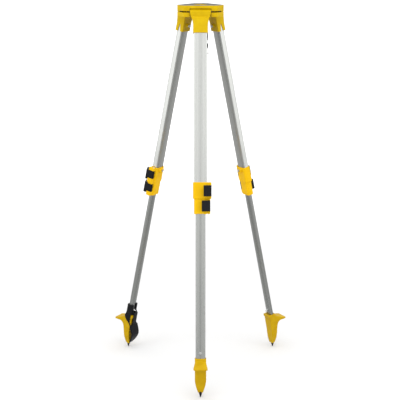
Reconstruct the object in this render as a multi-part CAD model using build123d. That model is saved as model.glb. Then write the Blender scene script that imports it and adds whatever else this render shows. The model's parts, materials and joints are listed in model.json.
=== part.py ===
"""Aluminium surveyor tripod: flat head, three telescopic legs with lever clamps, pointed shoes.

Millimetres, +Z up. The origin is the centre of the head's top face. The front leg points along -Y.
Each leg is drawn hanging straight down from its hinge, in a frame where x is outward from the leg's
hinge, y is sideways and z is up, then tilted out and turned to its azimuth. "Drop" is the distance
below the hinge along the leg.
"""

import math
import os

from build123d import *

os.makedirs("parts", exist_ok=True)

# Layout
LEGS = {"front": -90.0, "right": 30.0, "left": 150.0}
CORNERS = {"rear": 90.0, "left": 210.0, "right": 330.0}
LEG_TILT = 12.25
HINGE_R = 58.0
HINGE_Z = -24.75

# Head
HEAD_LONG_SIDE = 133.0
HEAD_SHORT_SIDE = 51.0
HEAD_CORNER_FILLET = 5.0
PLATE_T = 12.0
LUG_BOTTOM = -22.0
CAP_TOP = -27.5
CAP_BOTTOM = -45.0
POCKET_HALF = 42.3
HOLE_R = 26.5
HOLE_RIM_R = 33.0
HOLE_RIM_T = 3.0
CAP_BOLT_R = 3.0
CAP_BOLT_HEAD_R = 5.0
CAP_BOLT_HEAD_H = 3.8
CAP_BOLT_RADIUS = 75.0
CAP_BOLT_SPREAD = 10.0
CAP_BOLT_TOP = -7.0

# Leg hinge
PIN_R = 6.0
PIN_LENGTH = 108.0
BUSH_WALL = 2.5
BUSH_LENGTH = 14.0
BUSH_FLANGE_T = 1.0
RUNNING_GAP = 0.05
KNUCKLE_HALF = 41.0
KNUCKLE_R = 12.0

# Tubes
TUBE_N = 6.8
UPPER_DEPTH = 27.0
UPPER_WIDTH = 52.0
UPPER_CORNER = 6.0
UPPER_WALL = 2.0
UPPER_TOP = 30.0
UPPER_END = 724.0
GROOVE_WIDTH = 1.6
GROOVE_DEPTH = 0.7
GROOVE_INSET = 5.0
LOWER_DEPTH = 19.0
LOWER_WIDTH = 38.0
LOWER_CORNER = 8.5
LOWER_WALL = 1.6
LOWER_TOP = 640.0
LOWER_END = 1384.0
GUIDE_TOP = 632.0
GUIDE_END = 690.0

# Leg bracket
BRACKET_END = 84.0
BRACKET_OUTER = 24.3
BRACKET_INNER = -10.7
NOTCH_APEX = 49.0
NOTCH_HALF = 6.5
SCREW_DROP = 59.0
SCREW_R = 4.0
SCREW_BOSS_N = -17.0
SCREW_BOSS_R = 7.5
SCREW_HEAD_H = 6.0
SCREW_FLATS = 12.0
PLUG_END = 80.0

# Clamp
CLAMP_TOP = 663.0
CLAMP_STEP = 728.0
CLAMP_END = 788.0
LINER_WALL = 2.0
LINER_GAP = 0.3
CLAMP_SPLIT = (9.6, 11.2)
LEVER_HEIGHT = 43.0
CHEEK_HEIGHT = 33.0
CHEEK_RAISE = 3.0
CHEEK_R = 6.3
LEVER_PIN_R = 3.0
PIVOT_N = 3.0
UPPER_LEVER = {"drop": 696.3, "t": 36.6, "inner": 25.2, "tip": 12.0, "ear": 24.0}
LOWER_LEVER = {"drop": 755.0, "t": 32.0, "inner": 22.2, "tip": 4.7, "ear": 20.5}
LEVER_OUTER = 36.0
LEVER_TIP_OUTER = 46.0
LEVER_TIP_INNER = 36.5
LEVER_PIN_SPANS = {"upper": (662.0, 726.5), "lower": (727.0, 788.5)}

# Shoe and spike
SHOE_TOP = 1352.0
SHOE_HALF = 22.3
PEDAL_HALF = 27.5
PEDAL_EDGE_N = 68.0
SHOE_BOLT_DROP = 1331.8
SPIKE_TIP = (-9.7, 1507.5)
SPIKE_TOP = (-6.9, 1481.0)
SPIKE_SHANK = 16.0

# Cradle of the left foot
CRADLE_TOP = 1304.0
CRADLE_COLLAR_END = 1350.0
CRADLE_INSIDE = 22.8
CRADLE_HALF = 26.2

# Fixing screw under the head
ARM_PIVOT_Y = 62.0
ARM_REST = 2.0
ARM_TOP = -48.0
ARM_T = 6.0
ARM_SLOT_WIDTH = 24.0
ARM_TRAVEL = 14.0
STUD_R = 7.94
STUD_BORE_R = 3.5
STUD_TOP = -16.5
STUD_END = -110.0
KNOB_TOP = -82.0
KNOB_GRIP_TOP = -92.0
KNOB_END = -133.0
KNOB_R = 27.5
COLLAR_TOP = -39.8
COLLAR_LIP = 1.5
STUD_GROOVE_R = 7.0
STUD_GROOVE_TOP = -39.0
HANGER_X = 24.0
HANGER_WIRE_R = 1.2
HANGER_TOP = -136.0
HANGER_RING_R = 5.0
HANGER_END = -188.0
HANGER_HOOK_R = 4.2
EYE_R = 4.2
EYE_HOLE_R = 2.2
EYE_HALF = 1.5

GAP = 0.1


def leg_frame(azimuth):
    """The place of a leg's own frame, whose origin is on its hinge pin."""
    return Rot(Z=azimuth) * Pos(HINGE_R, 0, HINGE_Z) * Rot(Y=-LEG_TILT)


def cylinder_x(radius, low, high, y=0.0, z=0.0):
    """A cylinder along x from low to high."""
    return Pos((low + high) / 2, y, z) * Rot(Y=90) * Cylinder(radius, high - low)


def cylinder_y(radius, low, high, x=0.0, z=0.0):
    """A cylinder along y from low to high."""
    return Pos(x, (low + high) / 2, z) * Rot(X=90) * Cylinder(radius, high - low)


def cylinder_z(radius, low, high, x=0.0, y=0.0):
    """A cylinder along z from low to high."""
    return Pos(x, y, (low + high) / 2) * Cylinder(radius, high - low)


def block(x, y, z):
    """A box from three (low, high) pairs."""
    centre = Pos(sum(x) / 2, sum(y) / 2, sum(z) / 2)
    return centre * Box(x[1] - x[0], y[1] - y[0], z[1] - z[0])


def rise(sketch, height):
    """A flat outline raised along +z, whichever way it was drawn."""
    return extrude(sketch, amount=height, dir=(0, 0, 1))


def hexagon(half_flats, height):
    """A hexagonal prism on the ground plane, such as a nut."""
    return rise(RegularPolygon(half_flats, 6, major_radius=False), height)


def hexagon_prism(flats, low, high, x=0.0, y=0.0):
    """A hexagonal prism along z between two heights, such as a bolt's head."""
    return Pos(x, y, low) * hexagon(flats / 2, high - low)


def bar(depth, width, corner, top, end, n=TUBE_N):
    """A bar along the leg with a rounded rectangular section, between two drops."""
    return Pos(n, 0, -end) * rise(RectangleRounded(depth, width, corner), end - top)


def side_profile(points, half):
    """A solid from an outline of (outward, drop) points, extruded sideways to both halves."""
    outline = Polygon(*[(n, -drop) for n, drop in points], align=None)
    return Pos(0, half, 0) * Rot(X=90) * rise(outline, 2 * half)


def front_profile(points, low, high):
    """A solid from an outline of (sideways, drop) points on one side, mirrored and extruded outward."""
    right = [(t, -drop) for t, drop in points]
    left = [(-t, z) for t, z in reversed(right)]
    outline = Polygon(*right, *left, align=None)
    return Pos(low, 0, 0) * Rot(Z=90) * Rot(X=90) * rise(outline, high - low)


def hull(circles):
    """The convex outline around circles given as (x, y, radius)."""
    rounds = [Pos(x, y) * Circle(r) for x, y, r in circles]
    return make_hull([edge for item in rounds for edge in item.edges()])


def head_outline():
    """A triangle with its corners cut off, long sides over the legs."""
    triangle_side = HEAD_LONG_SIDE + 2 * HEAD_SHORT_SIDE
    corner_r = triangle_side / math.sqrt(3) - HEAD_SHORT_SIDE * math.sqrt(3) / 2
    points = []
    for azimuth in (90, 210, 330):
        for side in (-HEAD_SHORT_SIDE / 2, HEAD_SHORT_SIDE / 2):
            corner = Vector(corner_r, side, 0).rotate(Axis.Z, azimuth)
            points.append((corner.X, corner.Y))
    outline = Polygon(*points, align=None)
    return fillet(outline.vertices(), HEAD_CORNER_FILLET)


def head_slab(low, high):
    """The head's outline between two heights."""
    return Pos(0, 0, low) * rise(head_outline(), high - low)


def leg_band(azimuth, low, high):
    """The space under the head that one leg's knuckle swings in."""
    return Rot(Z=azimuth) * block((0, 150), (-POCKET_HALF, POCKET_HALF), (low, high))


def pin_space(azimuth, radius, half):
    """A cylinder on one leg's hinge line."""
    return Rot(Z=azimuth) * cylinder_y(radius, -half, half, x=HINGE_R, z=HINGE_Z)


def cap_bolt_places():
    """The (x, y) of every hinge cap bolt, corner by corner."""
    places = []
    for azimuth in CORNERS.values():
        for side in (-CAP_BOLT_SPREAD, CAP_BOLT_SPREAD):
            place = Vector(CAP_BOLT_RADIUS, side, 0).rotate(Axis.Z, azimuth)
            places.append((place.X, place.Y))
    return places


def make_head_plate():
    """The head casting: a flat plate with three corner lugs that take the hinge pins."""
    plate = head_slab(-PLATE_T, 0)
    plate = chamfer(plate.faces().sort_by(Axis.Z)[-1].edges(), 0.8)
    lugs = head_slab(LUG_BOTTOM, -PLATE_T)
    for azimuth in LEGS.values():
        lugs -= leg_band(azimuth, LUG_BOTTOM - 1, -PLATE_T + 1)
    head = plate + lugs + cylinder_z(HOLE_RIM_R, -PLATE_T - HOLE_RIM_T, -PLATE_T)
    head -= cylinder_z(HOLE_R, -30, 5)
    for azimuth in LEGS.values():
        head -= pin_space(azimuth, PIN_R + 0.02, PIN_LENGTH / 2 + 0.5)
    for x, y in cap_bolt_places():
        head -= cylinder_z(CAP_BOLT_R, LUG_BOTTOM - 1, CAP_BOLT_TOP, x, y)
    return head


def make_hinge_cap(corner):
    """One corner's lower cap, which clamps the ends of two hinge pins under the head's lug."""
    cap = head_slab(CAP_BOTTOM, CAP_TOP)
    cap = chamfer(cap.faces().sort_by(Axis.Z)[0].edges(), 1.2)
    for azimuth in LEGS.values():
        cap -= leg_band(azimuth, CAP_BOTTOM - 1, CAP_TOP + 1)
        cap -= pin_space(azimuth, PIN_R + 0.02, PIN_LENGTH / 2 + 0.5)
    for x, y in cap_bolt_places():
        cap -= cylinder_z(CAP_BOLT_R, CAP_BOTTOM - 1, CAP_TOP + 1, x, y)
        cap -= cylinder_z(CAP_BOLT_HEAD_R + 0.4, CAP_BOTTOM - 1, CAP_BOTTOM + 4.2, x, y)
    cap -= cylinder_z(5.0, CAP_BOTTOM - 1, CAP_BOTTOM + 10, 0, ARM_PIVOT_Y)
    towards = Vector(1, 0, 0).rotate(Axis.Z, CORNERS[corner])
    return max(cap.solids(), key=lambda solid: solid.center().dot(towards))


def make_hinge_cap_bolts():
    """Socket-head bolts that pull the caps up to the head."""
    bolts = []
    for x, y in cap_bolt_places():
        head_low = CAP_BOTTOM + 0.4
        bolt = cylinder_z(CAP_BOLT_R - 0.02, head_low, CAP_BOLT_TOP - 0.2, x, y)
        bolt += cylinder_z(CAP_BOLT_HEAD_R, head_low, head_low + CAP_BOLT_HEAD_H, x, y)
        bolt -= hexagon_prism(5.0, head_low - 1, head_low + 2.2, x, y)
        bolts.append(bolt.solid())
    return Compound(children=bolts)


def make_hinge_pins():
    """The three steel pins that the legs swing on."""
    pins = []
    for azimuth in LEGS.values():
        pin = chamfer(Cylinder(PIN_R, PIN_LENGTH).edges().filter_by(GeomType.CIRCLE), 0.8)
        pins.append((Rot(Z=azimuth) * Pos(HINGE_R, 0, HINGE_Z) * Rot(X=90) * pin).solid())
    return Compound(children=pins)


def make_arm_pivot():
    """The shouldered bolt that the swing arm turns on, screwed into the rear cap."""
    low = ARM_TOP - ARM_T
    bolt = cylinder_z(4.98, low - 1, CAP_BOTTOM + 9, 0, ARM_PIVOT_Y)
    bolt += cylinder_z(9.0, ARM_TOP + GAP, CAP_BOTTOM, 0, ARM_PIVOT_Y)
    bolt += cylinder_z(9.5, low - 1.2, low - GAP, 0, ARM_PIVOT_Y)
    bolt += hexagon_prism(13.0, low - 6.5, low - 1.2, 0, ARM_PIVOT_Y)
    return bolt


def turn_arm(shape):
    """Swings a shape drawn on the centre line to the arm's resting angle."""
    return Pos(0, ARM_PIVOT_Y, 0) * Rot(Z=ARM_REST) * Pos(0, -ARM_PIVOT_Y, 0) * shape


def make_swing_arm():
    """The flat arm that carries the fixing screw across the head's hole."""
    outline = hull([(0, ARM_PIVOT_Y, 13), (0, -14, 22)])
    outline -= Rot(Z=90) * SlotCenterToCenter(2 * ARM_TRAVEL + 0.6, ARM_SLOT_WIDTH)
    outline -= Pos(0, ARM_PIVOT_Y) * Circle(4.98 + RUNNING_GAP)
    return Pos(0, 0, ARM_TOP - ARM_T) * rise(outline, ARM_T)


def make_screw_slider():
    """The flanged bush that runs along the arm's slot."""
    low = ARM_TOP - ARM_T
    slider = cylinder_z(ARM_SLOT_WIDTH / 2 - GAP, low - 1, ARM_TOP + 1)
    slider += cylinder_z(16.0, ARM_TOP + GAP, ARM_TOP + 2.1)
    slider += cylinder_z(16.0, low - 2.1, low - GAP)
    slider -= cylinder_z(STUD_R + RUNNING_GAP, low - 5, ARM_TOP + 5)
    return slider


def make_thrust_collar():
    """The ring that rests on the slider; its lip runs in the stud's groove and carries the screw."""
    low = ARM_TOP + 2.2
    collar = cylinder_z(13.0, low, COLLAR_TOP)
    collar = chamfer(collar.edges().filter_by(GeomType.CIRCLE), 0.8)
    collar -= cylinder_z(STUD_GROOVE_R + RUNNING_GAP, low - 1, COLLAR_TOP + 1)
    return collar - cylinder_z(STUD_R + RUNNING_GAP, low - 1, COLLAR_TOP - COLLAR_LIP)


def make_fixing_stud():
    """The hollow 5/8 inch stud, drawn at its major diameter."""
    stud = cylinder_z(STUD_R, STUD_END, STUD_TOP)
    stud = chamfer(stud.edges().filter_by(GeomType.CIRCLE).sort_by(Axis.Z)[-1], 1.2)
    groove = cylinder_z(STUD_R + 1, COLLAR_TOP - COLLAR_LIP - GAP, STUD_GROOVE_TOP)
    stud -= groove - cylinder_z(STUD_GROOVE_R, COLLAR_TOP - 5, STUD_GROOVE_TOP + 1)
    return stud - cylinder_z(STUD_BORE_R, STUD_END - 1, STUD_TOP + 1)


def make_screw_knob():
    """The scalloped hand knob, with an eye under its rim for the plumb hook."""
    neck = Pos(0, 0, (KNOB_TOP + KNOB_GRIP_TOP) / 2) * Cone(17, 13, KNOB_TOP - KNOB_GRIP_TOP)
    grip = cylinder_z(KNOB_R, KNOB_END, KNOB_GRIP_TOP)
    for angle in range(0, 360, 40):
        place = Vector(KNOB_R + 5.0, 0, 0).rotate(Axis.Z, angle + 20)
        grip -= cylinder_z(7.5, KNOB_END - 1, KNOB_GRIP_TOP + 1, place.X, place.Y)
    grip = chamfer(grip.faces().sort_by(Axis.Z)[-1].edges(), 2.0)
    grip = chamfer(grip.faces().sort_by(Axis.Z)[0].edges(), 1.2)
    knob = neck + grip
    knob -= cylinder_z(STUD_R + 0.01, STUD_END - 0.2, KNOB_TOP + 1)
    knob -= cylinder_z(STUD_BORE_R, KNOB_END - 1, KNOB_TOP + 1)
    eye = cylinder_y(EYE_R, -EYE_HALF, EYE_HALF, x=HANGER_X, z=HANGER_TOP)
    neck = block((HANGER_X - EYE_R, KNOB_R - 0.5), (-EYE_HALF, EYE_HALF), (HANGER_TOP, KNOB_END + 1.5))
    return knob + eye + neck - cylinder_y(EYE_HOLE_R, -3, 3, x=HANGER_X, z=HANGER_TOP)


def make_plumb_hanger():
    """The wire hanger for the plumb bob: a ring through the knob's eye, a shank and an open hook."""
    ring_z = HANGER_TOP - HANGER_RING_R - (EYE_HOLE_R - HANGER_WIRE_R) + 0.4
    ring = Pos(HANGER_X, 0, ring_z) * Rot(Y=90) * Torus(HANGER_RING_R, HANGER_WIRE_R)
    shank = cylinder_z(HANGER_WIRE_R, HANGER_END, ring_z - HANGER_RING_R, HANGER_X)
    hook = CenterArc((HANGER_X + HANGER_HOOK_R, 0, 0), HANGER_HOOK_R, 180, 215)
    hook_wire = Pos(0, 0, HANGER_END) * Rot(X=90) * hook
    profile = Plane(origin=hook_wire @ 0, z_dir=hook_wire % 0) * Circle(HANGER_WIRE_R)
    return ring + shank + sweep(profile, path=hook_wire)


def make_hanger_bead():
    """The dark bead half way down the hanger."""
    bead = Pos(HANGER_X, 0, -162) * Cylinder(4.5, 18)
    bead = fillet(bead.edges().filter_by(GeomType.CIRCLE), 3.0)
    return bead - cylinder_z(HANGER_WIRE_R + 0.01, -175, -150, HANGER_X)


def make_bracket():
    """The leg bracket: a wide knuckle on the hinge pin above a socket for the upper tube."""
    lean = math.radians(67.5)
    side = [
        (25.0, 1.0),
        (13.0, -3.5),
        (KNUCKLE_R * math.cos(lean), -KNUCKLE_R * math.sin(lean)),
        (0.0, -KNUCKLE_R),
        (-KNUCKLE_R * math.sin(math.pi / 4), -KNUCKLE_R * math.cos(math.pi / 4)),
        (-KNUCKLE_R, 0.0),
        (-KNUCKLE_R, 26.0),
        (BRACKET_INNER, 30.0),
        (BRACKET_INNER, BRACKET_END),
        (BRACKET_OUTER, BRACKET_END),
        (BRACKET_OUTER, 27.0),
        (18.5, 22.0),
    ]
    front = [
        (KNUCKLE_HALF, -KNUCKLE_R - 1),
        (KNUCKLE_HALF, 6.0),
        (KNUCKLE_HALF - 4, 21.0),
        (33.0, 27.0),
        (29.0, 46.0),
        (29.0, BRACKET_END),
    ]
    body = side_profile(side, KNUCKLE_HALF + 1) & front_profile(front, -40, 40)
    body = fillet(body.edges().filter_by(Axis.Z), 2.5)
    body += cylinder_x(SCREW_BOSS_R, SCREW_BOSS_N, BRACKET_INNER + 1, z=-SCREW_DROP)
    body -= bar(UPPER_DEPTH + 0.1, UPPER_WIDTH + 0.1, UPPER_CORNER, UPPER_TOP, BRACKET_END + 5)
    body -= cylinder_y(PIN_R + BUSH_WALL, -60, 60)
    body -= cylinder_x(SCREW_R, -30, 0, z=-SCREW_DROP)
    notch = [(TUBE_N + 1, NOTCH_APEX), (TUBE_N + 1 + NOTCH_HALF, 90), (TUBE_N + 1 - NOTCH_HALF, 90)]
    return body - side_profile(notch, 60)


def make_hinge_bushes():
    """Two flanged plastic bushes between the knuckle and its pin."""
    bushes = []
    for side in (-1, 1):
        end = side * KNUCKLE_HALF
        low, high = sorted((end, end - side * BUSH_LENGTH))
        bush = cylinder_y(PIN_R + BUSH_WALL - 0.01, low, high)
        low, high = sorted((end, end + side * BUSH_FLANGE_T))
        bush += cylinder_y(PIN_R + BUSH_WALL + 2.2, low, high)
        bush -= cylinder_y(PIN_R + RUNNING_GAP, -60, 60)
        bushes.append(bush.solid())
    return Compound(children=bushes)


def make_upper_tube():
    """The extruded upper tube, with two long grooves on its outer and inner faces."""
    tube = bar(UPPER_DEPTH, UPPER_WIDTH, UPPER_CORNER, UPPER_TOP, UPPER_END)
    inner_corner = UPPER_CORNER - UPPER_WALL
    tube -= bar(
        UPPER_DEPTH - 2 * UPPER_WALL,
        UPPER_WIDTH - 2 * UPPER_WALL,
        inner_corner,
        UPPER_TOP - 1,
        UPPER_END + 1,
    )
    for face in (-1, 1):
        surface = TUBE_N + face * UPPER_DEPTH / 2
        for side in (-1, 1):
            centre = side * (UPPER_WIDTH / 2 - UPPER_CORNER - GROOVE_INSET / 2)
            tube -= block(
                (surface - GROOVE_DEPTH, surface + GROOVE_DEPTH),
                (centre - GROOVE_WIDTH / 2, centre + GROOVE_WIDTH / 2),
                (-UPPER_END - 1, -UPPER_TOP + 1),
            )
    return tube - cylinder_x(SCREW_R, -30, TUBE_N, z=-SCREW_DROP)


def make_top_plug():
    """The block inside the upper tube's top that the bracket screw bites into."""
    plug = bar(
        UPPER_DEPTH - 2 * UPPER_WALL - GAP,
        UPPER_WIDTH - 2 * UPPER_WALL - GAP,
        UPPER_CORNER - UPPER_WALL,
        UPPER_TOP + 2,
        PLUG_END,
    )
    return plug - cylinder_x(SCREW_R - 0.02, -30, TUBE_N + 1, z=-SCREW_DROP)


def make_bracket_screw():
    """The hexagon screw that holds the upper tube in its bracket from the inner side."""
    head = Rot(Y=90) * hexagon(SCREW_FLATS / 2, SCREW_HEAD_H)
    head = Pos(SCREW_BOSS_N - SCREW_HEAD_H, 0, -SCREW_DROP) * head
    return head + cylinder_x(SCREW_R - 0.04, SCREW_BOSS_N - 1, TUBE_N, z=-SCREW_DROP)


def lever_ear(lever, low, high):
    """A lug on the clamp's side that holds one end of a lever's pin, between two drops."""
    t = lever["t"]
    outline = hull([(PIVOT_N, t, CHEEK_R), (lever["ear"] - 4.5, t + 1.2, 4.5), (2, 21, 3), (12, 18, 4)])
    return Pos(0, 0, -high) * rise(outline, high - low)


def cheek_span(lever, gap=0.0):
    """The two drops between which a lever's cheek lies, with a gap at each end."""
    middle = lever["drop"] - CHEEK_RAISE
    return middle - CHEEK_HEIGHT / 2 - gap, middle + CHEEK_HEIGHT / 2 + gap


def make_clamp_body():
    """The clamp casting: a wide socket on the upper tube, a narrow one round the lower tube, lugs."""
    upper = Pos(0, 0.25) * bar(32.5, 59.5, 9.0, CLAMP_TOP, CLAMP_STEP, n=7.1)
    upper = chamfer(upper.faces().sort_by(Axis.Z)[-1].edges(), 1.5)
    lower = bar(28.8, 50.8, 9.0, CLAMP_STEP - 1, CLAMP_END, n=6.1)
    lower = chamfer(lower.faces().sort_by(Axis.Z)[0].edges(), 2.5)
    boss = block((-17.5, 0), (-13, 13), (-682, -668))
    body = upper + lower + chamfer(boss.edges().filter_by(Axis.X), 3.0)
    spans = (
        (UPPER_LEVER, CLAMP_TOP + 0.5, CLAMP_STEP),
        (LOWER_LEVER, CLAMP_STEP - 4, CLAMP_END - 1.5),
    )
    for lever, first, last in spans:
        cheek_first, cheek_last = cheek_span(lever, 0.2)
        body += lever_ear(lever, first, cheek_first)
        body += lever_ear(lever, cheek_last, last)
    body -= bar(UPPER_DEPTH + 0.1, UPPER_WIDTH + 0.1, UPPER_CORNER, CLAMP_TOP - 5, UPPER_END + 0.2)
    wide = 2 * (LINER_WALL + LINER_GAP) + GAP
    body -= bar(LOWER_DEPTH + wide, LOWER_WIDTH + wide, LOWER_CORNER + 2, UPPER_END, CLAMP_END + 5)
    pin_holes = (
        (UPPER_LEVER, CLAMP_TOP - 5, LEVER_PIN_SPANS["upper"][1] + 0.1),
        (LOWER_LEVER, LEVER_PIN_SPANS["lower"][0] - 0.1, CLAMP_END + 5),
    )
    for lever, first, last in pin_holes:
        body -= cylinder_z(LEVER_PIN_R, -last, -first, PIVOT_N, lever["t"])
    body -= block(CLAMP_SPLIT, (19, 45), (-CLAMP_END - 1, -CLAMP_STEP - 2))
    return body - cylinder_x(3.0, -30, -3, z=-675)


def make_clamp_liner():
    """The plastic brake liner that grips the lower tube when the levers close."""
    outer = 2 * (LINER_WALL + LINER_GAP)
    inner = 2 * LINER_GAP
    liner = bar(LOWER_DEPTH + outer, LOWER_WIDTH + outer, LOWER_CORNER + 2, CLAMP_STEP, CLAMP_END - 2)
    return liner - bar(
        LOWER_DEPTH + inner, LOWER_WIDTH + inner, LOWER_CORNER, CLAMP_STEP - 1, CLAMP_END
    )


def make_clamp_fasteners():
    """Two steel lever pins and the screw that fixes the clamp on the upper tube."""
    pins = []
    for name, lever in (("upper", UPPER_LEVER), ("lower", LOWER_LEVER)):
        first, last = LEVER_PIN_SPANS[name]
        pin = cylinder_z(LEVER_PIN_R - 0.01, -last, -first, PIVOT_N, lever["t"])
        pins.append(pin.solid())
    screw = Pos(-21.5, 0, -675) * Rot(Y=90) * hexagon(5.0, 4.0)
    screw += cylinder_x(2.98, -18.5, -7.0, z=-675)
    return Compound(children=[*pins, screw.solid()])


def make_lever(lever):
    """A clamp lever: a cheek on its pin beside the clamp, and a plate that flares out over its face."""
    drop = lever["drop"]
    t = lever["t"]
    inner = lever["inner"]
    tip = lever["tip"]
    plate = Polygon(
        (inner, t + CHEEK_R),
        (inner, tip + 13),
        (LEVER_TIP_INNER, tip),
        (LEVER_TIP_OUTER, tip),
        (LEVER_TIP_OUTER - 0.5, tip + 4),
        (LEVER_OUTER, t + 1),
        (LEVER_OUTER - 4.5, t + CHEEK_R),
        align=None,
    )
    body = Pos(0, 0, -drop - LEVER_HEIGHT / 2) * rise(plate, LEVER_HEIGHT)
    first, last = cheek_span(lever)
    cheek = hull([(PIVOT_N, t, CHEEK_R), (inner, t, CHEEK_R)])
    body += Pos(0, 0, -last) * rise(cheek, last - first)
    return body - cylinder_z(LEVER_PIN_R + RUNNING_GAP, -drop - 40, -drop + 40, PIVOT_N, t)


def make_lower_tube():
    """The oval lower tube that telescopes into the upper one."""
    tube = bar(LOWER_DEPTH, LOWER_WIDTH, LOWER_CORNER, LOWER_TOP, LOWER_END)
    wall = 2 * LOWER_WALL
    tube -= bar(
        LOWER_DEPTH - wall, LOWER_WIDTH - wall, LOWER_CORNER - LOWER_WALL, LOWER_TOP - 1, LOWER_END + 1
    )
    return tube - cylinder_x(3.0, -20, 40, z=-SHOE_BOLT_DROP)


def make_tube_guide():
    """The plastic guide on the lower tube's top end, which slides inside the upper tube."""
    clearance = 0.6
    guide = bar(
        UPPER_DEPTH - 2 * UPPER_WALL - clearance,
        UPPER_WIDTH - 2 * UPPER_WALL - clearance,
        UPPER_CORNER - UPPER_WALL - 0.3,
        GUIDE_TOP,
        GUIDE_END,
    )
    return guide - bar(LOWER_DEPTH, LOWER_WIDTH, LOWER_CORNER, LOWER_TOP, GUIDE_END + 1)


def make_shoe():
    """The cast foot: a collar on the lower tube, a step pedal outward and a tapering body."""
    side = [
        (-14.0, SHOE_TOP),
        (-14.0, 1361.0),
        (-10.5, 1367.0),
        (-11.5, 1430.0),
        (-16.0, 1470.0),
        (-17.0, 1486.0),
        (-13.0, 1489.0),
        (-3.0, 1489.0),
        (2.5, 1482.0),
        (9.0, 1461.0),
        (15.5, 1432.0),
        (20.5, 1414.5),
        (25.0, 1403.0),
        (27.0, 1396.0),
        (27.0, 1374.0),
        (20.5, 1368.0),
        (20.5, SHOE_TOP),
    ]
    front = [
        (SHOE_HALF, SHOE_TOP - 5),
        (SHOE_HALF, 1440.0),
        (18.5, 1462.0),
        (12.0, 1482.0),
        (8.5, 1495.0),
    ]
    body = side_profile(side, 40) & front_profile(front, -40, 60)
    edge = PEDAL_EDGE_N
    pedal_side = [
        (10.0, 1358.0),
        (20.0, 1363.0),
        (44.0, 1376.0),
        (edge - 2, 1384.5),
        (edge, 1386.5),
        (edge, 1389.5),
        (edge - 2, 1390.5),
        (44.0, 1390.0),
        (36.0, 1391.5),
        (29.0, 1397.0),
        (26.0, 1402.0),
        (10.0, 1402.0),
    ]
    corners = [(0, 22), (24, 22), (56, PEDAL_HALF), (64, PEDAL_HALF), (edge + 1, 22)]
    corners += [(n, -t) for n, t in reversed(corners)]
    plan = Pos(0, 0, -1430) * rise(Polygon(*corners, align=None), 90)
    pedal = side_profile(pedal_side, 40) & plan
    shoe = body + pedal
    shoe -= bar(LOWER_DEPTH + 0.1, LOWER_WIDTH + 0.1, LOWER_CORNER, SHOE_TOP - 5, LOWER_END + 0.5)
    return shoe - spike_shank(0.02)


def spike_line():
    """The direction of the spike, from its top to its tip, as (outward, drop) per millimetre."""
    outward = SPIKE_TIP[0] - SPIKE_TOP[0]
    drop = SPIKE_TIP[1] - SPIKE_TOP[1]
    length = math.hypot(outward, drop)
    return outward / length, drop / length, length


def spike_plane():
    """A plane across the spike's top, facing its tip."""
    outward, drop, _ = spike_line()
    return Plane(origin=(SPIKE_TOP[0], 0, -SPIKE_TOP[1]), x_dir=(0, 1, 0), z_dir=(outward, 0, -drop))


def spike_shank(extra):
    """The part of the spike inside the shoe, and the room for its shoulder."""
    shank = Pos(0, 0, -SPIKE_SHANK / 2) * Cylinder(5 + extra, SPIKE_SHANK + extra)
    shoulder = Pos(0, 0, 6) * Cylinder(6.5 + extra, 12)
    return spike_plane() * (shank + shoulder)


def make_spike():
    """The hardened point pressed into the shoe."""
    _, _, length = spike_line()
    shank = Pos(0, 0, -SPIKE_SHANK / 2) * Cylinder(5, SPIKE_SHANK)
    shoulder = Pos(0, 0, 5) * Cylinder(6.5, 10)
    point = Pos(0, 0, (10 + length) / 2) * Cone(6.5, 1.5, length - 10)
    return spike_plane() * (shank + shoulder + point)


def make_shoe_bolt():
    """The through bolt above the shoe, with a round head outside and a nut on a long tail inside."""
    outer = TUBE_N + LOWER_DEPTH / 2
    inner = TUBE_N - LOWER_DEPTH / 2
    bolt = cylinder_x(2.98, inner - 11, outer + 1, z=-SHOE_BOLT_DROP)
    bolt += Pos(outer + 2, 0, -SHOE_BOLT_DROP) * Rot(Y=90) * Cone(6, 4, 4)
    return bolt + Pos(inner - 5.0, 0, -SHOE_BOLT_DROP) * Rot(Y=90) * hexagon(5.0, 5.0)


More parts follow.
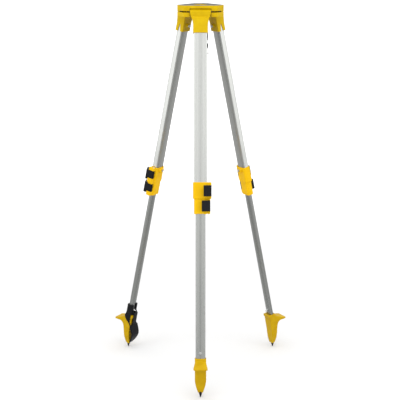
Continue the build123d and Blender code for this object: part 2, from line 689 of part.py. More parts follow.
def make_cradle():
    """The moulded clip-on cradle of the left foot: a split collar, two wings, a tongue and a spoon."""
    collar = bar(LOWER_DEPTH + 9.5, LOWER_WIDTH + 9.5, 9.5, CRADLE_TOP, CRADLE_COLLAR_END)
    collar -= block((-40, 40), (-9, 9), (-CRADLE_COLLAR_END - 2, -CRADLE_TOP + 4))
    wing = [
        (-4.0, 1338.0),
        (17.0, 1338.0),
        (18.0, 1345.0),
        (22.5, 1358.0),
        (15.0, 1371.0),
        (8.5, 1378.0),
        (-0.7, 1384.0),
        (-7.5, 1391.0),
        (-16.0, 1407.0),
        (-21.5, 1419.0),
        (-28.0, 1428.0),
        (-32.0, 1432.0),
        (-27.0, 1420.0),
        (-20.0, 1405.0),
        (-13.0, 1393.0),
        (-8.0, 1384.0),
        (-7.4, 1345.0),
    ]
    inside = block((-60, 60), (-CRADLE_INSIDE, CRADLE_INSIDE), (-1500, -1300))
    wings = side_profile(wing, CRADLE_HALF) - inside
    spoon = [
        (-15.5, 1396.0),
        (-17.5, 1404.0),
        (-23.0, 1416.0),
        (-28.0, 1428.0),
        (-30.0, 1440.0),
        (-28.0, 1454.0),
        (-24.0, 1467.0),
        (-19.0, 1478.0),
        (-17.6, 1482.0),
        (-19.5, 1484.0),
        (-24.0, 1476.0),
        (-29.0, 1466.0),
        (-33.5, 1452.0),
        (-35.0, 1440.0),
        (-33.0, 1428.0),
        (-28.0, 1415.0),
        (-22.0, 1402.0),
        (-19.5, 1396.0),
    ]
    taper = [(CRADLE_HALF, 1390.0), (CRADLE_HALF, 1444.0), (20.0, 1467.0), (12.0, 1482.0), (10.0, 1490.0)]
    plate = side_profile(spoon, 40) & front_profile(taper, -60, 60)
    tongue = block((-19, -15.4), (-13, 13), (-1402, -1338))
    yoke = block((-19, -3), (-13, 13), (-CRADLE_COLLAR_END, -1338))
    yoke -= block((-60, 60), (-9, 9), (-1500, -1300))
    cradle = collar + wings + plate + tongue + yoke
    return cradle - bar(LOWER_DEPTH + 0.3, LOWER_WIDTH + 0.3, LOWER_CORNER, 1290, 1360)


def make_leg_parts():
    """Every piece of one leg in its own frame, keyed by its node name without the leg's name."""
    return {
        "bracket": make_bracket(),
        "hinge_bushes": make_hinge_bushes(),
        "upper_tube": make_upper_tube(),
        "top_plug": make_top_plug(),
        "bracket_screw": make_bracket_screw(),
        "clamp_body": make_clamp_body(),
        "clamp_liner": make_clamp_liner(),
        "clamp_fasteners": make_clamp_fasteners(),
        "upper_lever": make_lever(UPPER_LEVER),
        "lower_lever": make_lever(LOWER_LEVER),
        "lower_tube": make_lower_tube(),
        "tube_guide": make_tube_guide(),
        "shoe": make_shoe(),
        "spike": make_spike(),
        "shoe_bolt": make_shoe_bolt(),
    }


def main():
    nodes = {
        "head_plate": make_head_plate(),
        "hinge_cap_bolts": make_hinge_cap_bolts(),
        "hinge_pins": make_hinge_pins(),
        "arm_pivot_bolt": make_arm_pivot(),
        "swing_arm": turn_arm(make_swing_arm()),
        "screw_slider": turn_arm(make_screw_slider()),
        "thrust_collar": turn_arm(make_thrust_collar()),
        "fixing_stud": turn_arm(make_fixing_stud()),
        "screw_knob": turn_arm(make_screw_knob()),
        "plumb_hanger": turn_arm(make_plumb_hanger()),
        "hanger_bead": turn_arm(make_hanger_bead()),
    }
    for corner in CORNERS:
        nodes[f"hinge_cap_{corner}"] = make_hinge_cap(corner)
    leg_parts = make_leg_parts()
    for leg, azimuth in LEGS.items():
        for name, shape in leg_parts.items():
            nodes[f"{leg}_{name}"] = leg_frame(azimuth) * shape
    nodes["left_foot_cradle"] = leg_frame(LEGS["left"]) * make_cradle()
    for name, shape in nodes.items():
        export_step(shape, f"parts/{name}.step")


main()
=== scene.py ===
"""Surveyor tripod: detailed pieces, materials, floor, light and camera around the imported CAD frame.

Metres, in the CAD's frame: the origin is the centre of the head's top face, +Z is up and the front leg
points along -Y. Every piece of a leg is built once in the leg's own frame, whose origin is on its hinge
pin, with x outward, y sideways and z up the leg, and is then placed on the three legs.
"""

import json
import math

import bmesh
import bpy
from mathutils import Matrix, Vector


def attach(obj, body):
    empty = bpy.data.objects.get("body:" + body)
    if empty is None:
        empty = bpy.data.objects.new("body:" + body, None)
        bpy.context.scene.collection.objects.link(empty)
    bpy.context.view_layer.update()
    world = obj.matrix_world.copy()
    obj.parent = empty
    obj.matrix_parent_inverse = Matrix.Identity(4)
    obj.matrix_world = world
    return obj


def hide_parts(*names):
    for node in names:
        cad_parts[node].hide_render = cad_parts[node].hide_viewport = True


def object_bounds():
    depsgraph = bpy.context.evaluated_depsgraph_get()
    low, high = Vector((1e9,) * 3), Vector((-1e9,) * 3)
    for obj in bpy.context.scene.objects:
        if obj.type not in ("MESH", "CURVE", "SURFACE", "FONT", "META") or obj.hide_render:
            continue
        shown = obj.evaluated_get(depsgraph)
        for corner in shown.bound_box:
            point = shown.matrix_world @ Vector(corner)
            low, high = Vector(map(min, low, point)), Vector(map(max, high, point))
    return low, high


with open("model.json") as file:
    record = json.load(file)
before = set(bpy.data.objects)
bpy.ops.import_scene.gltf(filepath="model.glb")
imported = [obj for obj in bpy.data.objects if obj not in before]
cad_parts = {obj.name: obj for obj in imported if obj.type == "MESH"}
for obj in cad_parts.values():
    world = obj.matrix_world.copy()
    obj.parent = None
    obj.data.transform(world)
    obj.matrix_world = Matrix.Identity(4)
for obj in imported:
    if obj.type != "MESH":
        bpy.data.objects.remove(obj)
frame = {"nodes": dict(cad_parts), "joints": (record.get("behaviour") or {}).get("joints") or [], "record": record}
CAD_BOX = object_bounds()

MM = 0.001
LEGS = ("front", "right", "left")
JOINTS = {joint["name"]: joint for joint in frame["joints"]}
BODIES = frame["record"]["behaviour"]["bodies"]
BODY_OF = {node: body for body, nodes in BODIES.items() for node in nodes}
SLOT_OF = {row["node"]: row["material_slot"] for row in frame["record"]["subparts"]}

# Meshing: corners nearer than this are one, and round pieces keep only edges sharper than this
WELD = 0.002 * MM
ROUND_CREASE = 50

# Tubes: each groove's middle is GROOVE_T from the middle of its face
FACE_STEPS = 10
CORNER_STEPS = 8
UPPER_CORNER = 6.0 * MM
UPPER_CROWN = 1.8 * MM
UPPER_WALL = 2.0 * MM
LOWER_CORNER = 8.5 * MM
LOWER_CROWN = 1.2 * MM
LOWER_WALL = 1.6 * MM
GROOVE_T = 17.5 * MM
GROOVE_WIDTH = 2.4 * MM
GROOVE_DEPTH = 1.1 * MM
GROOVE_SLOPE = 0.3 * MM

# Treads on the step pedal, in millimetres: rows set back from its edge, on its sloping top,
# which starts PEDAL_LIP from the edge and PEDAL_DROP below the hinge
TREAD_ROWS = 4
TREAD_FIRST = 9
TREAD_PITCH = 7
TREAD_HALF_WIDTH = 1.0
TREAD_HALF_LENGTH = 17
TREAD_HEIGHT = 0.9
TREAD_DEPTH = 2
PEDAL_LIP = 2
PEDAL_DROP = 1384.5
PEDAL_RISE = 8.5
PEDAL_RUN = 22

# Finger ridges on the levers, in millimetres: rows from the tip, on the flared face, which slopes
# by LEVER_FLARE over all of the lever but LEVER_FLAT
RIDGE_ROWS = 3
RIDGE_FIRST = 5.5
RIDGE_PITCH = 2.8
RIDGE_WIDTH = 1.3
RIDGE_HEIGHT = 0.4
RIDGE_DEPTH = 3
RIDGE_MARGIN = 4
LEVER_FLARE = 9.5
LEVER_FLAT = 9.3
LEVER_TIP = 4
LEVER_SINK = 0.5

# Tool socket in the shoe bolt's head
SOCKET_RIM = 1.3 * MM
SOCKET_DEPTH = 2.4 * MM
SOCKET_SLOPE = 0.3 * MM

# Rounding of cast and moulded pieces: voxel sizes, rounds of smoothing and the share of faces kept
CAST_VOXEL = 0.9 * MM
MOULDED_VOXEL = 0.7 * MM
LEVER_VOXEL = 0.6 * MM
CAST_ROUNDS = 6
LEVER_ROUNDS = 7
CAST_KEEP = 0.35

# Height above which the head plate is bare metal
BARE_ABOVE = -0.9 * MM

# Fixing screw, 5/8 inch with 11 turns to the inch
THREAD_CREST = 7.93 * MM
THREAD_ROOT = 6.55 * MM
THREAD_PITCH = 25.4 / 11 * MM
THREAD_BORE = 3.5 * MM
THREAD_GROOVE = (-41.4 * MM, -39.0 * MM)
THREAD_GROOVE_R = 7.0 * MM
THREAD_STEEPNESS = 1.25
THREAD_ROOT_FLAT = 0.06
STUD_SIDES = 40
STUD_ROWS_PER_TURN = 8

# Camera
CAMERA_PLACE = (-0.002, -4.353, 0.253)
CAMERA_PITCH = 76.5
CAMERA_LENS = 98.1

# Colours, linear
YELLOW = (0.58, 0.39, 0.0)
YELLOW_DEEP = (0.53, 0.345, 0.0)
# The shoes' two yellows are the brackets' powder coat darkened as a whole: painted shade for the shadow under the
# step pedal
SHOE_YELLOW_WITH_PAINTED_SHADE = (0.50, 0.315, 0.0)
SHOE_DEEP_WITH_PAINTED_SHADE = (0.44, 0.265, 0.0)
NYLON_BRIGHT = (0.77, 0.455, 0.0)
NYLON_DEEP = (0.70, 0.405, 0.0)
BLACK = (0.006, 0.006, 0.007)

# Floor and backdrop, in metres
FLOOR_HALF = 200.0
BACKDROP_START = 9.0
BACKDROP_BEND = 3.0
BACKDROP_HEIGHT = 9.0
BACKDROP_STEPS = 16

# Soft boxes: name, place, target, size in metres and power in watts
LIGHTS = (
    ("box_left", (-3.4, -1.8, -0.1), (0, 0, -0.7), (2.4, 3.2), 30),
    ("box_right", (3.4, -1.8, -0.1), (0, 0, -0.7), (2.4, 3.2), 28),
    ("box_top", (0, -1.8, 3.2), (0, 0, -0.6), (3.2, 3.0), 45),
    ("box_backdrop", (0, 4.5, 3.5), (0, 10.5, -0.5), (5.0, 2.0), 420),
)


# ---------------------------------------------------------------- meshes


def cad_copy(node, place=None):
    """A copy of a CAD node's mesh, in the frame of the given matrix."""
    mesh = frame["nodes"][node].data.copy()
    mesh.materials.clear()
    if place is not None:
        mesh.transform(place.inverted())
    return mesh


def leg_matrix(leg):
    """The place of a leg's own frame, from its joints."""
    spread = JOINTS[f"{leg}_leg_spread"]
    up = -Vector(JOINTS[f"{leg}_leg_extension"]["axis"])
    side = -Vector(spread["axis"])
    matrix = Matrix((side.cross(up), side, up)).transposed().to_4x4()
    matrix.translation = Vector(spread["pos_m"])
    return matrix


def welded(mesh):
    """The mesh with its split corners joined and its flat faces made whole."""
    bm = bmesh.new()
    bm.from_mesh(mesh)
    bmesh.ops.remove_doubles(bm, verts=bm.verts, dist=WELD)
    bmesh.ops.dissolve_limit(bm, angle_limit=math.radians(0.5), verts=bm.verts, edges=bm.edges)
    bm.to_mesh(mesh)
    bm.free()
    return mesh


def extent(mesh):
    """The low and high corners of a mesh's box."""
    points = [vertex.co for vertex in mesh.vertices]
    low = Vector([min(point[axis] for point in points) for axis in range(3)])
    high = Vector([max(point[axis] for point in points) for axis in range(3)])
    return low, high


def with_bars(mesh, bars):
    """The mesh and some boxes, each given as (low, high) corners, ready to be fused by cast()."""
    bm = bmesh.new()
    bm.from_mesh(mesh)
    for low, high in bars:
        low = Vector(low)
        high = Vector(high)
        made = bmesh.ops.create_cube(bm, size=1)
        bmesh.ops.scale(bm, vec=high - low, verts=made["verts"])
        bmesh.ops.translate(bm, vec=(low + high) / 2, verts=made["verts"])
    bm.to_mesh(mesh)
    bm.free()
    return mesh


def rounded_outline(low, high, corner, crown, groove=None):
    """A rounded rectangle whose x faces are crowned and, if asked, have two grooves each.

    The grooves are at the given distance to either side of the face's middle.
    """
    middle = (low + high) / 2
    half_x = (high.x - low.x) / 2
    half_y = (high.y - low.y) / 2
    flat = half_y - corner
    face = [(flat * step / FACE_STEPS, 0) for step in range(FACE_STEPS)]
    if groove is not None:
        edges = (groove - GROOVE_WIDTH / 2, groove + GROOVE_WIDTH / 2)
        face = [(y, depth) for y, depth in face if not edges[0] <= y <= edges[1]]
        face += [
            (edges[0], 0),
            (edges[0] + GROOVE_SLOPE, GROOVE_DEPTH),
            (edges[1] - GROOVE_SLOPE, GROOVE_DEPTH),
            (edges[1], 0),
        ]
        face.sort()
    quarter = [(half_x - crown * (y / flat) ** 2 - depth, y) for y, depth in face if y > 0]
    for step in range(CORNER_STEPS + 1):
        angle = math.pi / 2 * step / CORNER_STEPS
        x = half_x - corner + (corner - crown) * math.cos(angle)
        quarter.append((x, flat + corner * math.sin(angle)))
    upper = quarter + [(-x, y) for x, y in reversed(quarter)]
    outline = upper + [(-x, -y) for x, y in upper]
    return [(middle.x + x, middle.y + y) for x, y in outline]


def tube(name, low, high, corner, crown, wall, groove=None):
    """A tube along z with a rounded section that fills the box between two corners."""
    inset = Vector((wall, wall, 0))
    bm = bmesh.new()
    rims = []
    for outline in (
        rounded_outline(low, high, corner, crown, groove),
        rounded_outline(low + inset, high - inset, corner - wall, 0),
    ):
        rings = [[bm.verts.new((x, y, z)) for x, y in outline] for z in (low.z, high.z)]
        for index in range(len(outline)):
            after = (index + 1) % len(outline)
            bm.faces.new((rings[0][index], rings[0][after], rings[1][after], rings[1][index]))
        rims.append(rings)
    for end in (0, 1):
        edges = []
        for rings in rims:
            ring = rings[end]
            edges += [bm.edges.get((ring[index - 1], ring[index])) for index in range(len(ring))]
        bmesh.ops.triangle_fill(bm, use_beauty=True, edges=edges)
    bmesh.ops.recalc_face_normals(bm, faces=bm.faces)
    mesh = bpy.data.meshes.new(name)
    bm.to_mesh(mesh)
    bm.free()
    return smooth(mesh)


def thread_radius(angle, z):
    """The stud's surface at an angle and a height: a rolled thread, broken by the collar's groove."""
    if THREAD_GROOVE[0] <= z <= THREAD_GROOVE[1]:
        return THREAD_GROOVE_R
    phase = (z / THREAD_PITCH - angle / (2 * math.pi)) % 1
    rise = min(1, max(0, THREAD_STEEPNESS * (1 - abs(2 * phase - 1)) - THREAD_ROOT_FLAT))
    return THREAD_ROOT + (THREAD_CREST - THREAD_ROOT) * rise


def ring_of_points(bm, centre, z, radii):
    """New points round a centre at one height, each at its own radius."""
    ring = []
    for step, radius in enumerate(radii):
        angle = 2 * math.pi * step / len(radii)
        ring.append(bm.verts.new((
            centre.x + radius * math.cos(angle),
            centre.y + radius * math.sin(angle),
            z,
        )))
    return ring


def threaded_stud(low, high, centre):
    """A hollow stud along z with a helical thread, between two heights."""
    rows = math.ceil((high - low) / THREAD_PITCH * STUD_ROWS_PER_TURN)
    bm = bmesh.new()
    rings = []
    for row in range(rows + 1):
        z = low + (high - low) * row / rows
        chamfer = THREAD_ROOT + min(z - low, high - z)
        angles = [2 * math.pi * step / STUD_SIDES for step in range(STUD_SIDES)]
        radii = [min(thread_radius(angle, z), chamfer) for angle in angles]
        rings.append(ring_of_points(bm, centre, z, radii))
    for z in (high, low):
        rings.append(ring_of_points(bm, centre, z, [THREAD_BORE] * STUD_SIDES))
    for first, second in zip(rings, rings[1:] + rings[:1]):
        for step in range(STUD_SIDES):
            after = (step + 1) % STUD_SIDES
            bm.faces.new((first[step], first[after], second[after], second[step]))
    bmesh.ops.recalc_face_normals(bm, faces=bm.faces)
    mesh = bpy.data.meshes.new("stud")
    bm.to_mesh(mesh)
    bm.free()
    return smooth(mesh, ROUND_CREASE)


def evaluated(mesh, modifiers):
    """The mesh after a list of (type, settings) modifiers."""
    scratch = bpy.data.objects.new("scratch", mesh)
    bpy.context.scene.collection.objects.link(scratch)
    for kind, settings in modifiers:
        modifier = scratch.modifiers.new(kind.lower(), kind)
        for name, value in settings.items():
            setattr(modifier, name, value)
    depsgraph = bpy.context.evaluated_depsgraph_get()
    result = bpy.data.meshes.new_from_object(scratch.evaluated_get(depsgraph))
    bpy.data.objects.remove(scratch)
    return result


def cast(mesh, voxel=CAST_VOXEL, rounds=CAST_ROUNDS):
    """A closed mesh with its edges rounded off as a casting or moulding has them."""
    return evaluated(
        mesh,
        [
            ("REMESH", {"mode": "VOXEL", "voxel_size": voxel, "use_smooth_shade": True}),
            ("SMOOTH", {"factor": 0.5, "iterations": rounds}),
            ("DECIMATE", {"ratio": CAST_KEEP}),
        ],
    )


def socketed(mesh):
    """The shoe bolt with a tool socket sunk into the flat end that faces +x."""
    end_x = extent(mesh)[1].x - 0.05 * MM
    bm = bmesh.new()
    bm.from_mesh(mesh)
    bmesh.ops.remove_doubles(bm, verts=bm.verts, dist=0.001 * MM)
    end = [face for face in bm.faces if min(vert.co.x for vert in face.verts) > end_x]
    face = bmesh.ops.dissolve_faces(bm, faces=end)["region"][0]
    bmesh.ops.inset_individual(bm, faces=[face], thickness=SOCKET_RIM)
    bmesh.ops.inset_individual(bm, faces=[face], thickness=SOCKET_SLOPE, depth=-SOCKET_DEPTH)
    bm.to_mesh(mesh)
    bm.free()
    return mesh


def bevelled(mesh, width):
    """A machined mesh with small bevels on its sharp edges."""
    settings = {
        "width": width,
        "segments": 2,
        "limit_method": "ANGLE",
        "angle_limit": math.radians(32),
        "harden_normals": False,
    }
    return smooth(evaluated(welded(mesh), [("BEVEL", settings)]))


def smooth(mesh, angle=35):
    """Smooth shading with the edges sharper than the angle kept."""
    mesh.polygons.foreach_set("use_smooth", [True] * len(mesh.polygons))
    bm = bmesh.new()
    bm.from_mesh(mesh)
    limit = math.radians(angle)
    for edge in bm.edges:
        edge.smooth = len(edge.link_faces) == 2 and edge.calc_face_angle(0) < limit
    bm.to_mesh(mesh)
    bm.free()
    return mesh


def add_piece(node, mesh, material, place=None):
    """Puts a finished mesh into the scene on its CAD node's body, in place of that node."""
    piece = bpy.data.objects.new(f"{node}_made", mesh)
    bpy.context.scene.collection.objects.link(piece)
    if place is not None:
        piece.matrix_world = place
    for item in material if isinstance(material, list) else [material]:
        mesh.materials.append(item)
    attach(piece, BODY_OF[node])
    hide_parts(node)


# ---------------------------------------------------------------- materials


def add_range(tree, value, low, high, start, end, interpolation="LINEAR"):
    """A value from one range, clamped into another."""
    node = tree.nodes.new("ShaderNodeMapRange")
    node.interpolation_type = interpolation
    node.inputs["From Min"].default_value = low
    node.inputs["From Max"].default_value = high
    node.inputs["To Min"].default_value = start
    node.inputs["To Max"].default_value = end
    tree.links.new(value, node.inputs["Value"])
    return node.outputs["Result"]


def add_math(tree, operation, *values):
    """A Math node's result; each value is a number or another node's output."""
    node = tree.nodes.new("ShaderNodeMath")
    node.operation = operation
    for socket, value in zip(node.inputs, values):
        if isinstance(value, (int, float)):
            socket.default_value = value
        else:
            tree.links.new(value, socket)
    return node.outputs[0]


class Shader:
    """A Principled material under construction, with short calls for its nodes."""

    def __init__(self, name, colour, roughness, metallic=0.0, **sockets):
        self.material = bpy.data.materials.new(name)
        self.material.use_nodes = True
        self.tree = self.material.node_tree
        self.bsdf = self.tree.nodes["Principled BSDF"]
        self.bsdf.inputs["Base Color"].default_value = (*colour, 1)
        self.bsdf.inputs["Roughness"].default_value = roughness
        self.bsdf.inputs["Metallic"].default_value = metallic
        for socket, value in sockets.items():
            self.bsdf.inputs[socket.replace("_", " ")].default_value = value
        self.place = self.tree.nodes.new("ShaderNodeTexCoord").outputs["Object"]
        self.height = None

    def link(self, output, target):
        """Joins one node's output to another's input."""
        self.tree.links.new(output, target)

    def stretch(self, scale):
        """Object coordinates with their own scale on each axis."""
        node = self.tree.nodes.new("ShaderNodeMapping")
        node.inputs["Scale"].default_value = scale
        self.link(self.place, node.inputs["Vector"])
        return node.outputs["Vector"]

    def noise(self, scale, detail, vector=None):
        """A noise over the object's own coordinates, or over the given ones."""
        node = self.tree.nodes.new("ShaderNodeTexNoise")
        node.inputs["Scale"].default_value = scale
        node.inputs["Detail"].default_value = detail
        node.inputs["Roughness"].default_value = 0.5
        self.link(vector or self.place, node.inputs["Vector"])
        return node.outputs["Fac"]

    def ramp(self, value, low, high, start, end):
        """A value from one range, clamped into another."""
        return add_range(self.tree, value, low, high, start, end)

    def mix(self, factor, first, second):
        """A colour between two, each an output or a plain colour."""
        node = self.tree.nodes.new("ShaderNodeMix")
        node.data_type = "RGBA"
        self.link(factor, node.inputs["Factor"])
        for socket, colour in ((node.inputs[6], first), (node.inputs[7], second)):
            if isinstance(colour, tuple):
                socket.default_value = (*colour, 1)
            else:
                self.link(colour, socket)
        return node.outputs[2]

    def math(self, operation, first, second):
        """Two values joined by a Math node."""
        return add_math(self.tree, operation, first, second)

    def bump(self, height, distance, strength):
        """Adds a bump layer over the earlier ones."""
        node = self.tree.nodes.new("ShaderNodeBump")
        node.inputs["Distance"].default_value = distance
        node.inputs["Strength"].default_value = strength
        self.link(height, node.inputs["Height"])
        if self.height is not None:
            self.link(self.height, node.inputs["Normal"])
        self.height = node.outputs["Normal"]
        self.link(self.height, self.bsdf.inputs["Normal"])

    def colour(self, output):
        """Sets the base colour from a node."""
        self.link(output, self.bsdf.inputs["Base Color"])

    def rough(self, output):
        """Sets the roughness from a node."""
        self.link(output, self.bsdf.inputs["Roughness"])

    def worn(self, scale, detail, smoothest, roughest):
        """Roughness that drifts between two values over the surface."""
        self.rough(self.ramp(self.noise(scale, detail), 0.3, 0.7, smoothest, roughest))


def powder_coat(name, colour, deep):
    """Powder coat over a casting: orange peel and a faint mottling between two shades."""
    s = Shader(name, colour, roughness=0.42, Specular_IOR_Level=0.12)
    mottle = s.ramp(s.noise(38, 3), 0.35, 0.65, 0, 1)
    s.colour(s.mix(mottle, deep, colour))
    s.worn(240, 3, 0.36, 0.50)
    s.bump(s.noise(900, 2), 0.12 * MM, 0.35)
    s.bump(s.noise(160, 2), 0.4 * MM, 0.18)
    return s.material


def moulded_yellow():
    """Yellow glass-filled nylon of the clamps: fine spark-eroded grain."""
    s = Shader("moulded_nylon_yellow", NYLON_BRIGHT, roughness=0.5, Specular_IOR_Level=0.12)
    flow = s.ramp(s.noise(22, 4), 0.3, 0.7, 0, 1)
    s.colour(s.mix(flow, NYLON_DEEP, NYLON_BRIGHT))
    s.worn(500, 2, 0.42, 0.58)
    s.bump(s.noise(1900, 3), 0.08 * MM, 0.4)
    return s.material


def black_nylon():
    """Black moulded nylon with a fine grain."""
    s = Shader("moulded_nylon_black", BLACK, roughness=0.42, Specular_IOR_Level=0.14)
    s.colour(s.mix(s.noise(60, 4), (0.004, 0.004, 0.005), (0.009, 0.0095, 0.011)))
    s.worn(350, 3, 0.34, 0.52)
    s.bump(s.noise(1600, 3), 0.1 * MM, 0.45)
    return s.material


def extruded_aluminium(name, colour, dull):
    """Anodised tube: die lines and a fine grain that run along the leg."""
    roughness = 0.28
    s = Shader(name, colour, roughness=roughness, metallic=1.0)
    lines = s.noise(1.0, 3, s.stretch((900, 900, 2.0)))
    bands = s.noise(1.0, 2, s.stretch((130, 130, 0.8)))
    cloud = s.noise(9, 3)
    s.colour(s.mix(s.math("MULTIPLY", s.math("ADD", lines, bands), 0.5), dull, colour))
    wear = s.math("ADD", s.ramp(lines, 0.3, 0.7, -0.05, 0.05), s.ramp(cloud, 0.3, 0.7, -0.03, 0.03))
    s.rough(s.math("ADD", wear, roughness))
    s.bump(lines, 0.03 * MM, 0.5)
    return s.material


def machined_aluminium():
    """The head's bare top, faced on a lathe: fine rings about its centre."""
    tint = (0.36, 0.35, 0.32, 1)
    s = Shader("machined_aluminium", (0.27, 0.27, 0.25), roughness=0.42, metallic=1.0, Specular_Tint=tint)
    length = s.tree.nodes.new("ShaderNodeVectorMath")
    length.operation = "LENGTH"
    s.link(s.stretch((1, 1, 0)), length.inputs[0])
    combine = s.tree.nodes.new("ShaderNodeCombineXYZ")
    s.link(length.outputs["Value"], combine.inputs["X"])
    rings = s.noise(1900, 2, combine.outputs["Vector"])
    s.colour(s.mix(s.ramp(s.noise(30, 4), 0.3, 0.7, 0, 1), (0.23, 0.23, 0.21), (0.30, 0.30, 0.28)))
    s.rough(s.ramp(rings, 0.3, 0.7, 0.36, 0.5))
    s.bump(rings, 0.03 * MM, 0.6)
    return s.material


def zinc_steel():
    """Bright zinc plate on bolts, pins and wire."""
    s = Shader("zinc_plated_steel", (0.62, 0.62, 0.61), roughness=0.28, metallic=1.0)
    s.colour(s.mix(s.noise(220, 4), (0.50, 0.50, 0.50), (0.70, 0.70, 0.69)))
    s.worn(600, 3, 0.2, 0.38)
    s.bump(s.noise(1200, 2), 0.04 * MM, 0.3)
    return s.material


def dark_steel():
    """Hardened, blackened steel: bluish-black scale with paler scuffs."""
    s = Shader("blackened_steel", (0.03, 0.03, 0.032), roughness=0.42, metallic=0.9)
    scuff = s.ramp(s.noise(420, 5), 0.55, 0.75, 0, 1)
    s.colour(s.mix(scuff, (0.022, 0.022, 0.025), (0.10, 0.10, 0.10)))
    s.worn(300, 3, 0.34, 0.55)
    s.bump(s.noise(700, 3), 0.08 * MM, 0.4)
    return s.material


def turned_brass():
    """Turned brass of the fixing screw."""
    s = Shader("turned_brass", (0.62, 0.42, 0.16), roughness=0.3, metallic=1.0)
    s.colour(s.mix(s.noise(90, 4), (0.50, 0.33, 0.12), (0.68, 0.47, 0.20)))
    s.worn(400, 3, 0.22, 0.38)
    s.bump(s.noise(1500, 2), 0.03 * MM, 0.3)
    return s.material


def dull_aluminium():
    """Pressed aluminium of the swing arm."""
    s = Shader("pressed_aluminium", (0.5, 0.5, 0.49), roughness=0.4, metallic=1.0)
    s.colour(s.mix(s.noise(50, 4), (0.42, 0.42, 0.41), (0.56, 0.56, 0.55)))
    s.worn(300, 3, 0.32, 0.5)
    s.bump(s.noise(1000, 2), 0.04 * MM, 0.3)
    return s.material


def acetal():
    """Dark grey acetal of the bushes, liners and guides."""
    s = Shader("acetal_grey", (0.05, 0.05, 0.052), roughness=0.35)
    s.colour(s.mix(s.noise(80, 3), (0.04, 0.04, 0.042), (0.06, 0.06, 0.064)))
    s.worn(500, 2, 0.28, 0.42)
    s.bump(s.noise(1500, 2), 0.03 * MM, 0.3)
    return s.material


def pale_floor():
    """A plain, dull, nearly even surface."""
    s = Shader("pale_floor", (0.67, 0.67, 0.67), roughness=0.8, Specular_IOR_Level=0.1)
    s.colour(s.mix(s.noise(1.3, 2), (0.66, 0.66, 0.66), (0.68, 0.68, 0.68)))
    return s.material


POWDER = powder_coat("powder_coat_yellow", YELLOW, YELLOW_DEEP)
# Same paint as the brackets, darkened throughout as painted shade on the shoes
SHOE_POWDER_PAINTED_SHADE = powder_coat("powder_coat_shoe_painted_shade", SHOE_YELLOW_WITH_PAINTED_SHADE, SHOE_DEEP_WITH_PAINTED_SHADE)
NYLON_YELLOW = moulded_yellow()
NYLON_BLACK = black_nylon()
TUBE_UPPER = extruded_aluminium("upper_tube_aluminium", (0.57, 0.58, 0.56), (0.51, 0.52, 0.50))
TUBE_LOWER = extruded_aluminium("lower_tube_aluminium", (0.43, 0.44, 0.425), (0.37, 0.38, 0.365))
MACHINED = machined_aluminium()
ZINC = zinc_steel()
DARK_STEEL = dark_steel()
BRASS = turned_brass()
DULL_ALUMINIUM = dull_aluminium()
ACETAL = acetal()

NODE_MATERIALS = {
    "yellow_casting": POWDER,
    "yellow_plastic": NYLON_YELLOW,
    "black_plastic": NYLON_BLACK,
    "bright_aluminium": TUBE_UPPER,
    "anodised_aluminium": TUBE_LOWER,
    "bright_steel": ZINC,
    "dark_steel": DARK_STEEL,
    "brass": BRASS,
    "bush_plastic": ACETAL,
}


def paint_cad_nodes():
    """Every CAD node takes the procedural material of its slot in the record."""
    for name, node in frame["nodes"].items():
        material = DULL_ALUMINIUM if name == "swing_arm" else NODE_MATERIALS[SLOT_OF[name]]
        if not node.data.materials:
            node.data.materials.append(material)
        for index in range(len(node.data.materials)):
            node.data.materials[index] = material


# ---------------------------------------------------------------- pieces


def add_leg_pieces(kind, mesh, material, grain=False):
    """One mesh, made in the leg's own frame, in place of the same CAD node on every leg.

    A piece with a grain keeps that frame as its own, so that its texture runs along the leg.
    """
    for leg in LEGS:
        node = f"{leg}_{kind}"
        piece = mesh.copy()
        place = leg_matrix(leg)
        if not grain:
            piece.transform(place)
            place = None
        add_piece(node, piece, material, place)


def build_tubes(front):
    """The two tubes of each leg, extruded in the leg's own frame so that their grain runs along it."""
    low, high = extent(cad_copy("front_upper_tube", front))
    upper = tube("upper_tube", low, high, UPPER_CORNER, UPPER_CROWN, UPPER_WALL, GROOVE_T)
    add_leg_pieces("upper_tube", upper, TUBE_UPPER, grain=True)
    low, high = extent(cad_copy("front_lower_tube", front))
    lower = tube("lower_tube", low, high, LOWER_CORNER, LOWER_CROWN, LOWER_WALL)
    add_leg_pieces("lower_tube", lower, TUBE_LOWER, grain=True)


def build_castings(front):
    """Brackets, clamp bodies and shoes, with rounded edges and treads on the step pedal."""
    add_leg_pieces("bracket", cast(cad_copy("front_bracket", front)), POWDER)
    add_leg_pieces("clamp_body", cast(cad_copy("front_clamp_body", front)), NYLON_YELLOW)
    shoe = cad_copy("front_shoe", front)
    _, high = extent(shoe)
    treads = []
    for row in range(TREAD_ROWS):
        x = high.x - (TREAD_FIRST + TREAD_PITCH * row) * MM
        z = -(PEDAL_DROP - (high.x / MM - PEDAL_LIP - x / MM) * PEDAL_RISE / PEDAL_RUN) * MM
        treads.append((
            (x - TREAD_HALF_WIDTH * MM, -TREAD_HALF_LENGTH * MM, z - TREAD_DEPTH * MM),
            (x + TREAD_HALF_WIDTH * MM, TREAD_HALF_LENGTH * MM, z + TREAD_HEIGHT * MM),
        ))
    # The shoes take the darkened powder coat, a painted shade
    add_leg_pieces("shoe", cast(with_bars(shoe, treads)), SHOE_POWDER_PAINTED_SHADE)


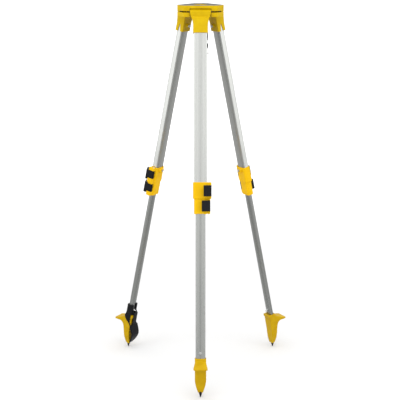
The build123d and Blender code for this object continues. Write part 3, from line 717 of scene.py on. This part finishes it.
def build_levers(front):
    """The clamp levers, with three finger ridges on the flared face near the tip."""
    for kind in ("upper_lever", "lower_lever"):
        lever = cad_copy(f"front_{kind}", front)
        low, high = extent(lever)
        slope = LEVER_FLARE * MM / (high.y - low.y - LEVER_FLAT * MM)
        ridges = []
        for row in range(RIDGE_ROWS):
            y = low.y + (RIDGE_FIRST + RIDGE_PITCH * row) * MM
            x = high.x - LEVER_SINK * MM - (y - low.y - LEVER_TIP * MM) * slope
            ridges.append((
                (x - RIDGE_DEPTH * MM, y, low.z + RIDGE_MARGIN * MM),
                (x + RIDGE_HEIGHT * MM, y + RIDGE_WIDTH * MM, high.z - RIDGE_MARGIN * MM),
            ))
        add_leg_pieces(kind, cast(with_bars(lever, ridges), LEVER_VOXEL, LEVER_ROUNDS), NYLON_BLACK)


def build_leg_hardware(front):
    """Screws, pins, points, bushes and guides, with their sharp edges broken."""
    for kind, material, width in (
        ("hinge_bushes", ACETAL, 0.3),
        ("top_plug", ACETAL, 0.8),
        ("bracket_screw", ZINC, 0.5),
        ("clamp_liner", ACETAL, 0.3),
        ("clamp_fasteners", ZINC, 0.4),
        ("tube_guide", ACETAL, 0.6),
        ("spike", DARK_STEEL, 0.5),
    ):
        add_leg_pieces(kind, bevelled(cad_copy(f"front_{kind}", front), width * MM), material)
    bolt = socketed(cad_copy("front_shoe_bolt", front))
    add_leg_pieces("shoe_bolt", bevelled(bolt, 0.3 * MM), ZINC)


def build_cradle():
    """The left foot's moulded cradle, worked in its own leg's frame."""
    node = "left_foot_cradle"
    place = leg_matrix("left")
    mesh = cast(cad_copy(node, place), MOULDED_VOXEL)
    mesh.transform(place)
    add_piece(node, mesh, NYLON_BLACK)


def build_head():
    """The head plate with its bare faced top, its caps and bolts."""
    head = bevelled(cad_copy("head_plate"), 0.6 * MM)
    for polygon in head.polygons:
        bare = polygon.center.z > BARE_ABOVE and polygon.normal.z > 0.5
        polygon.material_index = 1 if bare else 0
    add_piece("head_plate", head, [POWDER, MACHINED])
    for node, material, width in (
        ("hinge_cap_rear", POWDER, 0.7),
        ("hinge_cap_left", POWDER, 0.7),
        ("hinge_cap_right", POWDER, 0.7),
        ("hinge_cap_bolts", DARK_STEEL, 0.35),
        ("hinge_pins", DARK_STEEL, 0.3),
        ("arm_pivot_bolt", ZINC, 0.4),
    ):
        add_piece(node, bevelled(cad_copy(node), width * MM), material)


def build_fixing_screw():
    """The swing arm, slider, collar, threaded stud, moulded knob and plumb hanger under the head."""
    for node, material, width in (
        ("swing_arm", DULL_ALUMINIUM, 0.6),
        ("screw_slider", BRASS, 0.4),
        ("thrust_collar", BRASS, 0.3),
    ):
        add_piece(node, bevelled(cad_copy(node), width * MM), material)
    low, high = extent(cad_copy("fixing_stud"))
    add_piece("fixing_stud", threaded_stud(low.z, high.z, (low + high) / 2), BRASS)
    add_piece("screw_knob", cast(cad_copy("screw_knob"), MOULDED_VOXEL), NYLON_BLACK)
    add_piece("plumb_hanger", smooth(welded(cad_copy("plumb_hanger")), ROUND_CREASE), ZINC)
    add_piece("hanger_bead", smooth(welded(cad_copy("hanger_bead")), ROUND_CREASE), NYLON_BLACK)


# ---------------------------------------------------------------- stage


def add_area(name, place, target, size, power):
    """A rectangular soft box at a place, turned to its target."""
    light = bpy.data.lights.new(name, "AREA")
    light.shape = "RECTANGLE"
    light.size, light.size_y = size
    light.energy = power
    lamp = bpy.data.objects.new(name, light)
    bpy.context.scene.collection.objects.link(lamp)
    lamp.location = place
    lamp.rotation_euler = (Vector(target) - Vector(place)).to_track_quat("-Z", "Y").to_euler()


def build_floor():
    """A pale floor that curves up into a backdrop. It lights the object but isn't mirrored in it."""
    low = CAD_BOX[0][2]
    profile = [(-FLOOR_HALF, low), (BACKDROP_START, low)]
    for step in range(1, BACKDROP_STEPS + 1):
        angle = math.pi / 2 * step / BACKDROP_STEPS
        y = BACKDROP_START + BACKDROP_BEND * math.sin(angle)
        profile.append((y, low + BACKDROP_BEND * (1 - math.cos(angle))))
    profile.append((BACKDROP_START + BACKDROP_BEND, low + BACKDROP_HEIGHT))
    bm = bmesh.new()
    rows = [[bm.verts.new((x, y, z)) for x in (-FLOOR_HALF, FLOOR_HALF)] for y, z in profile]
    for first, second in zip(rows, rows[1:]):
        bm.faces.new((first[0], first[1], second[1], second[0]))
    mesh = bpy.data.meshes.new("floor")
    bm.to_mesh(mesh)
    bm.free()
    floor = bpy.data.objects.new("floor", smooth(mesh))
    bpy.context.scene.collection.objects.link(floor)
    mesh.materials.append(pale_floor())
    floor.visible_glossy = False


def build_lights():
    """Soft boxes at both sides and above, and one that brightens the backdrop."""
    for name, place, target, size, power in LIGHTS:
        add_area(name, place, target, size, power)


def build_world():
    """A dim room under a pale ceiling that has a bright band left and right of the middle."""
    world = bpy.data.worlds.new("studio")
    bpy.context.scene.world = world
    world.use_nodes = True
    tree = world.node_tree
    background = tree.nodes["Background"]
    background.inputs["Color"].default_value = (1, 1, 1, 1)
    split = tree.nodes.new("ShaderNodeSeparateXYZ")
    tree.links.new(tree.nodes.new("ShaderNodeTexCoord").outputs["Generated"], split.inputs[0])
    side = add_math(tree, "ABSOLUTE", split.outputs["X"])
    rise = add_range(tree, split.outputs["Z"], 0.02, 0.24, 0.42, 1.0, "SMOOTHSTEP")
    band = add_range(tree, side, 0.0, 0.3, 1.0, 1.7)
    fall = add_range(tree, side, 0.4, 0.85, 1.0, 0.66)
    strength = add_math(tree, "MULTIPLY", rise, add_math(tree, "MULTIPLY", band, fall))
    tree.links.new(strength, background.inputs["Strength"])


def build_camera():
    """The camera at the photograph's viewing angle."""
    data = bpy.data.cameras.new("camera")
    data.lens = CAMERA_LENS
    data.sensor_width = 36.0
    camera = bpy.data.objects.new("camera", data)
    bpy.context.scene.collection.objects.link(camera)
    camera.location = CAMERA_PLACE
    camera.rotation_euler = (math.radians(CAMERA_PITCH), 0, 0)
    bpy.context.scene.camera = camera


paint_cad_nodes()
front_leg = leg_matrix("front")
build_tubes(front_leg)
build_castings(front_leg)
build_levers(front_leg)
build_leg_hardware(front_leg)
build_cradle()
build_head()
build_fixing_screw()
build_floor()
build_lights()
build_world()
build_camera()
bpy.context.scene.view_settings.view_transform = "Standard"
